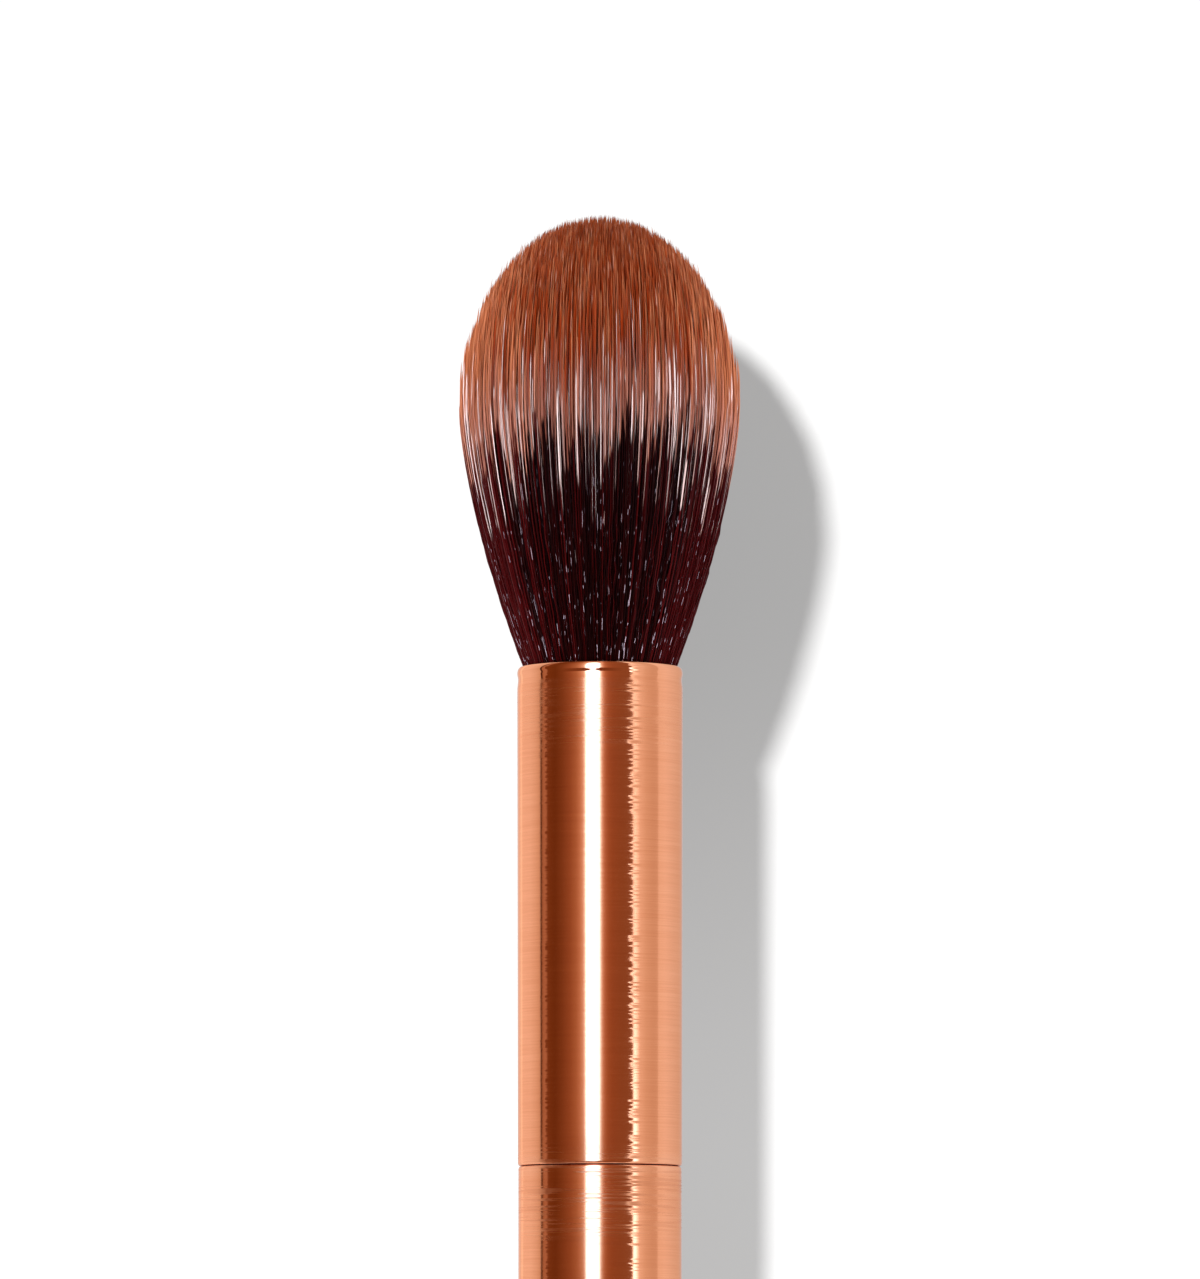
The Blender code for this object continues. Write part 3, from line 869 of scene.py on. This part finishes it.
def strand_piece(name, seeds, chosen, crimped, mouth, finish):
    """Copies the modelled filament along the paths of the chosen ones, as one mesh."""
    paths, widths, tips = strand_paths(seeds, chosen, crimped)
    rings = paths.shape[1]
    model, faces = filament_template(rings)
    count = len(chosen)
    ring_of = np.round(model[:, 2] * (rings - 1)).astype(int)
    spin = seeds["spin"][chosen][:, None]
    angle = np.arctan2(model[:, 1], model[:, 0])[None] + spin
    out = np.hypot(model[:, 0], model[:, 1])[None] * widths[:, ring_of]
    spots = paths[:, ring_of].copy()
    spots[..., 0] += out * np.cos(angle)
    spots[..., 1] += out * np.sin(angle)
    spots[..., 2] += mouth

    lengths = np.array([len(face) for face in faces])
    corners = np.concatenate([np.array(face) for face in faces])
    stride = len(model)
    all_corners = (corners[None] + np.arange(count)[:, None] * stride).ravel()
    starts = np.concatenate([[0], np.cumsum(np.tile(lengths, count))[:-1]])

    mesh = bpy.data.meshes.new(name)
    mesh.vertices.add(count * stride)
    mesh.vertices.foreach_set("co", spots.astype(np.float32).ravel())
    mesh.loops.add(len(all_corners))
    mesh.loops.foreach_set("vertex_index", all_corners.astype(np.int32))
    mesh.polygons.add(len(starts))
    mesh.polygons.foreach_set("loop_start", starts.astype(np.int32))
    mesh.update(calc_edges=True)
    mesh.validate()
    mesh.polygons.foreach_set("use_smooth", np.ones(len(starts), bool))

    # What the finish reads: how far along a filament a point is, how near its tip, and the style
    style = seeds["style"][chosen]
    levels = paths[..., 2]
    line = seeds["line"][chosen][:, None]
    root = levels[:, :1] - seeds["sunk"][chosen][:, None]
    below = (levels - root) / (line - root)
    along = np.where(levels < line, below, 1 + (levels - line) / ALONG_ABOVE)
    clear = (tips > line[:, 0] + MAP_TIP_CLEAR * ALONG_ABOVE + TIP_LENGTH)[:, None]
    near_tip = np.clip(1 - (tips[:, None] - levels) / TIP_LENGTH, 0, 1) * clear
    values = {
        "strand_along": along[:, ring_of].ravel(),
        "strand_tip": near_tip[:, ring_of].ravel(),
        "strand_style": np.repeat(style / STYLES, stride),
        "strand_tone": np.repeat(seeds["tone"][style], stride),
        "strand_gloss": np.repeat(seeds["gloss"][style], stride),
        "streak_place": np.repeat(seeds["streak_place"][style], stride),
        "streak_reach": np.repeat(seeds["streak_reach"][style], stride),
        "streak_strength": np.repeat(seeds["highlight_streak"][style], stride),
    }
    for key, value in values.items():
        layer = mesh.attributes.new(key, "FLOAT", "POINT")
        layer.data.foreach_set("value", value.astype(np.float32))

    # The map: a column for each style, up by how far along a point is, with the tips above
    side = np.arctan2(model[:, 1], model[:, 0]) / TURN * STRAND_SIDES
    side = np.round(side).astype(int) % STRAND_SIDES
    across, lift, tip_face = [], [], []
    for face in faces:
        ring = [ring_of[corner] for corner in face]
        sides = [side[corner] for corner in face]
        if max(ring) == 0:
            across += [0.2, 0.5, 0.8]
            lift += [0.0, MAP_FOOT_LIFT, 0.0]
            tip_face += [False] * 3
            continue
        body = [place for place, level in zip(sides, ring) if level < rings - 1]
        wraps = {0, STRAND_SIDES - 1} <= set(body)
        turned = [STRAND_SIDES if wraps and place == 0 else place for place in sides]
        middle = sum(STRAND_SIDES if wraps and place == 0 else place for place in body) / len(body)
        for place, level in zip(turned, ring):
            across.append((middle if level == rings - 1 else place) / STRAND_SIDES)
        lift += [0.0] * len(face)
        tip_face += [min(ring) >= rings - 4] * len(face)
    across, lift, tip_face = np.array(across), np.array(lift), np.array(tip_face)
    tipped = tip_face[None] & clear
    on_tip = MAP_TIP + MAP_TIP_LENGTH * near_tip[:, ring_of[corners]]
    on_body = MAP_ROOT + MAP_DYE_LINE * along[:, ring_of[corners]]
    up = np.where(tipped, on_tip, on_body) + lift[None]
    sideways = (style[:, None] + MAP_MARGIN + (1 - 2 * MAP_MARGIN) * across[None]) / STYLES
    layer = mesh.uv_layers.new(name="OFBake")
    layer.data.foreach_set("uv", np.stack([sideways, up], 2).astype(np.float32).ravel())

    piece = bpy.data.objects.new(name, mesh)
    bpy.context.scene.collection.objects.link(piece)
    mesh.materials.append(finish)
    return piece


def tuft_seeds():
    """What is drawn at random for each filament, once, so that every run gives the same tuft."""
    rng = np.random.default_rng(SEED)
    count = STRAND_COUNT
    home = spiral(count) + rng.normal(0, HOME_SPREAD, (count, 2))
    reach = np.linalg.norm(home, axis=1, keepdims=True)
    home *= np.minimum(1, DISC_EDGE / reach)
    clumps = spiral(CLUMPS) + rng.normal(0, CLUMP_SPREAD, (CLUMPS, 2))
    bundles = spiral(BUNDLES) + rng.normal(0, BUNDLE_SPREAD, (BUNDLES, 2))
    in_clump = nearest(home, clumps)
    in_bundle = nearest(home, bundles)
    short = SHORT_BY * rng.random(count) ** SHORT_POWER
    short += np.where(rng.random(count) < STUNTED_SHARE, rng.random(count) * STUNTED_BY, 0)
    place = np.minimum(np.linalg.norm(home, axis=1), DISC_EDGE)
    tips = tip_height(place) - short

    # A style is one look of a filament: a tone, a kind of painted highlight streak and a variety of
    # both.
    # The heights where the dye changes go by bundles, and tones by thin sheets that stand on end
    # round the axis
    dye = np.linspace(-1, 1, DYES) * DYE_SPREAD
    own_dye = rng.normal(0, DYE_OWN, count)
    wanted = DYE_BY_BUNDLE * rng.random(BUNDLES)[in_bundle]
    wanted += (1 - DYE_BY_BUNDLE) * rng.random(count)
    dyed = np.argsort(np.argsort(wanted)) * DYES // count
    sector = np.arctan2(home[:, 1], home[:, 0]) / TURN * SECTORS
    sector = (sector + 0.5 * rng.random(count)).astype(int)
    sheet = (place * SHEETS).astype(int)
    wanted = TONE_BY_SHEET * rng.random((SECTORS, SHEETS))[sector % SECTORS, sheet]
    wanted += (1 - TONE_BY_SHEET) * rng.random(count)
    # Filaments at the left and right sides take the paler tones: painted rim light
    wanted += RIM_LIGHT_PALING * abs(home[:, 0]) ** 3
    toned = np.argsort(np.argsort(wanted)) * TONES // count
    kind = rng.choice(KINDS, count, p=KIND_SHARES)
    variety = rng.integers(VARIETIES, size=count)
    style = (variety * TONES + toned) * KINDS + kind
    # The dye line sits lower at the left and right sides, so more copper shows there: painted rim
    # light
    slope = np.cos(2 * np.arctan2(home[:, 0], home[:, 1])) * DYE_DROP_FOR_RIM_LIGHT
    line = np.maximum(DYE_HEIGHT, tips - DYED_TIP) + dye[dyed] + own_dye + slope
    level = np.tile(np.repeat(np.linspace(0, 1, TONES), KINDS), VARIETIES)
    return {
        "home": home,
        "tips": tips,
        "clump": clumps[in_clump],
        "bundle": bundles[in_bundle],
        "pull": rng.uniform(*CLUMP_PULL, CLUMPS)[in_clump] * rng.uniform(*OWN_PULL, count),
        "draw": rng.uniform(*BUNDLE_DRAW, BUNDLES)[in_bundle],
        "lean": rng.normal(0, LEAN, (count, 2)),
        "pitch": rng.uniform(*CRIMP_PITCH, count) * MM,
        "phase": rng.uniform(0, TURN, count),
        "side": rng.uniform(0, TURN, count),
        "crimp": rng.gamma(2.0, CRIMP_SIZE, count),
        "size": np.clip(rng.lognormal(0, SIZE_SPREAD, count), *SIZE_LIMITS)
        * np.array(KIND_SIZES)[kind],
        "spin": rng.uniform(0, TURN, count),
        "style": style,
        "line": line,
        "tone": np.clip(level + rng.normal(0, TONE_SPREAD, STYLES), 0, 1),
        "gloss": rng.permutation(np.linspace(0, 1, STYLES)),
        "sunk": rng.uniform(0, SUNK_ROOT, count),
        "streak_place": rng.normal(*HIGHLIGHT_STREAK_PLACE, STYLES),
        "streak_reach": rng.uniform(*HIGHLIGHT_STREAK_REACH, STYLES),
        "highlight_streak": np.tile(KIND_HIGHLIGHT_STREAKS, VARIETIES * TONES) * rng.uniform(*HIGHLIGHT_STREAK_FADE, STYLES),
    }


def make_tuft(mouth, finish):
    """All filaments, in pieces: the core with few rings, and the outer ones with crimp."""
    seeds = tuft_seeds()
    place = np.linalg.norm(seeds["home"], axis=1)
    pieces = []
    for label, crimped in (("core", False), ("outer", True)):
        chosen = np.flatnonzero((place >= CORE_PLACE) == crimped)
        rings = OUTER_RINGS if crimped else CORE_RINGS
        triangles = STRAND_SIDES * 2 * rings
        parts = math.ceil(len(chosen) * triangles / PIECE_TRIANGLES)
        for number, part in enumerate(np.array_split(chosen, parts), 1):
            name = f"tuft_{label}_{number}"
            pieces.append(strand_piece(name, seeds, part, crimped, mouth, finish))
    return pieces


# Studio


def lit_card(name, near, low, high, tones, lights=True, rounds=(0, 0)):
    """A curved card round the brush, seen in reflections. Its tones go by azimuth in degrees.

    The rounds are the heights of its pointed foot and of its rounded top."""
    start, end = tones[0][0], tones[-1][0]
    bpy.ops.object.select_all(action="DESELECT")
    bpy.ops.mesh.primitive_plane_add(size=1, location=(0, 0, 0))
    card = bpy.context.object
    card.name = name
    bpy.ops.object.mode_set(mode="EDIT")
    bpy.ops.mesh.select_all(action="SELECT")
    bpy.ops.mesh.subdivide(number_cuts=max(64 if any(rounds) else 16, int((end - start) / 2)))
    bpy.ops.object.mode_set(mode="OBJECT")
    for vert in card.data.vertices:
        level = low + (high - low) * (vert.co.y + 0.5)
        aside = vert.co.x
        if any(rounds):
            aside *= min(1, (level - low) / rounds[0])
            aside *= math.sqrt(1 - max(0, 1 - (high - level) / rounds[1]) ** 2)
        azimuth = math.radians((start + end) / 2 + (end - start) * aside)
        vert.co = (near * math.sin(azimuth), -near * math.cos(azimuth), level)
    finish = new_finish(name)
    share = (finish.azimuth() - math.radians(start)) / math.radians(end - start)
    stops = [((angle - start) / (end - start), (*tone, 1)) for angle, *tone in tones]
    ramp = finish.node("ShaderNodeValToRGB", {"stops": stops}, share)
    finish.show(finish.node("ShaderNodeEmission", None, ramp, 1.0))
    card.data.materials.append(finish.owner)
    card.visible_camera = False
    card.visible_shadow = False
    card.visible_diffuse = lights


def soft_lamp(name, azimuth, radiance):
    """A square softbox that faces the brush, and that shiny things don't show."""
    data = bpy.data.lights.new(name, "AREA")
    data.shape = "RECTANGLE"
    data.size = SOFTBOX_SIZE
    data.size_y = SOFTBOX_SIZE
    data.energy = radiance * math.pi * SOFTBOX_SIZE**2
    lamp = bpy.data.objects.new(name, data)
    x, y = math.sin(math.radians(azimuth)), -math.cos(math.radians(azimuth))
    lamp.location = (SOFTBOX_NEAR * x, SOFTBOX_NEAR * y, SOFTBOX_HEIGHT)
    aim = Vector((0, 0, SOFTBOX_HEIGHT)) - lamp.location
    lamp.rotation_euler = aim.to_track_quat("-Z", "Y").to_euler()
    lamp.visible_camera = False
    lamp.visible_glossy = False
    bpy.context.scene.collection.objects.link(lamp)


def backdrop():
    """A white wall that only the camera sees, and the lamp that lights nothing else.

    The lamp throws the brush's shadow on it. From behind the wall is clear."""
    bpy.ops.object.select_all(action="DESELECT")
    bpy.ops.mesh.primitive_plane_add(size=1, location=(0, 0, 0))
    wall = bpy.context.object
    wall.name = "backdrop"
    for vert in wall.data.vertices:
        x, y, _ = vert.co
        vert.co = (BACKDROP_WIDTH * x, BACKDROP_DISTANCE, BACKDROP_HEIGHT * (y + 0.5))
    paint = new_finish("backdrop_paint")
    # The wall glows by itself at a tone that falls with height: the painted grey inside the brush's
    # shadow, which the shadow lamp lifts to white elsewhere
    tone = paint.between(paint.height(), *SHADE_HEIGHTS, *SHADE_TONES)
    painted_shadow_glow = paint.node("ShaderNodeEmission", None, (1, 1, 1, 1), tone)
    lit = paint.node("ShaderNodeBsdfDiffuse", None, (BACKDROP_PALE, BACKDROP_PALE, BACKDROP_PALE, 1))
    front = paint.node("ShaderNodeAddShader", None, painted_shadow_glow, lit)
    back = paint.node("ShaderNodeNewGeometry").output("Backfacing")
    clear = paint.node("ShaderNodeBsdfTransparent")
    paint.show(paint.node("ShaderNodeMixShader", None, back, front, clear))
    paint.owner.cycles.emission_sampling = "NONE"
    wall.data.materials.append(paint.owner)
    wall.visible_diffuse = False
    wall.visible_glossy = False
    wall.visible_transmission = False
    wall.visible_shadow = False

    data = bpy.data.lights.new("shadow_lamp", "SUN")
    data.energy = SHADOW_LAMP_ENERGY
    data.angle = SHADOW_LAMP_WIDTH
    lamp = bpy.data.objects.new("shadow_lamp", data)
    falls = Vector((SHADOW_ASIDE, BACKDROP_DISTANCE, -SHADOW_DROP))
    lamp.rotation_euler = falls.to_track_quat("-Z", "Y").to_euler()
    bpy.context.scene.collection.objects.link(lamp)
    lit_alone = bpy.data.collections.new("lit_by_shadow_lamp")
    lit_alone.objects.link(wall)
    lamp.light_linking.receiver_collection = lit_alone


def studio():
    """White surroundings, three softboxes, the cards round the brush, a pale floor and a wall."""
    world = bpy.data.worlds.new("studio")
    bpy.context.scene.world = world
    finish = Finish(world)
    path = finish.node("ShaderNodeLightPath")
    seen = (path + path.output("Is Glossy Ray") + path.output("Is Transmission Ray")).clamped()
    air = finish.node("ShaderNodeBackground", None, (1, 1, 1, 1), 0.50 + 0.50 * seen)
    finish.node("ShaderNodeOutputWorld", None, Surface=air)

    for softbox in SOFTBOXES:
        soft_lamp(*softbox)
    for name, tones in (("cards_left", CARDS_LEFT), ("cards_right", CARDS_RIGHT)):
        lit_card(name, *PLACE_SIDES, tones)
        lit_card(name + "_top", *PLACE_TOP, tones, lights=False)
    lit_card("card_strip", *PLACE_STRIP, CARD_STRIP, lights=False, rounds=STRIP_ROUNDS)
    lit_card("card_low", *PLACE_LOW, CARD_LOW, lights=False)
    lit_card("card_edge", *PLACE_EDGE, CARD_EDGE, lights=False)

    bpy.ops.object.select_all(action="DESELECT")
    bpy.ops.mesh.primitive_circle_add(
        vertices=FLOOR_SIDES, radius=FLOOR_RADIUS, fill_type="NGON", location=(0, 0, 0)
    )
    floor = bpy.context.object
    floor.name = "floor"
    pale = new_finish("pale_floor")
    wear = pale.noise((14, 14, 14), 3.0, 0.6)
    tone = pale.mix(wear, (0.80, 0.80, 0.80), (0.86, 0.86, 0.86))
    pale.principled(Base_Color=tone, Roughness=0.7)
    floor.data.materials.append(pale.owner)
    floor.visible_glossy = False
    backdrop()


def set_camera():
    data = bpy.data.cameras.new("camera")
    data.lens = CAMERA_LENS
    data.sensor_width = SENSOR
    data.clip_start = 0.02
    data.clip_end = 20
    camera = bpy.data.objects.new("camera", data)
    camera.location = CAMERA_PLACE
    camera.rotation_euler = (CAMERA_AIM - CAMERA_PLACE).to_track_quat("-Z", "Y").to_euler()
    bpy.context.scene.collection.objects.link(camera)
    bpy.context.scene.camera = camera


set_camera()
bpy.context.scene.view_settings.view_transform = "Standard"
studio()

ferrule_low, ferrule_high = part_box("ferrule")
mouth = ferrule_high.z
throat = ferrule_high.x - LIP_CURL - LIP_EDGE - THROAT_CLEARANCE
handle_low, handle_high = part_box("handle_tube")

ferrule = turned_shell("ferrule_shell", ferrule_profile(), closed=True)
ferrule.data.materials.append(brushed_copper("ferrule_copper", ferrule_low.z, mouth, 3.0))
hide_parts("ferrule")
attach(ferrule, "root")

handle_copper = brushed_copper("handle_copper", handle_low.z, handle_high.z, 7.0)
handle = turned_shell("handle_shell", handle_profile(), closed=True)
handle.data.materials.append(handle_copper)
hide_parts("handle_tube")
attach(handle, "root")

cap = turned_shell("cap_shell", cap_profile(), closed=False)
cap.data.materials.append(brushed_copper("cap_copper", 0, handle_low.z, 11.0))
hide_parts("end_cap")
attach(cap, "root")

roots = turned_shell("tuft_roots", slice_profile(), closed=False)
roots.data.materials.append(fused_roots())
for piece in [roots] + make_tuft(mouth, dyed_filament()):
    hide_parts("bristle_head")
    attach(piece, "root")

for node, make in (
    ("connector", moulded_plastic),
    ("resin_plug", cast_resin),
    ("root_band", waxed_thread),
    ("balance_weight", turned_steel),
):
    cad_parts[node].material_slots[0].material = make()
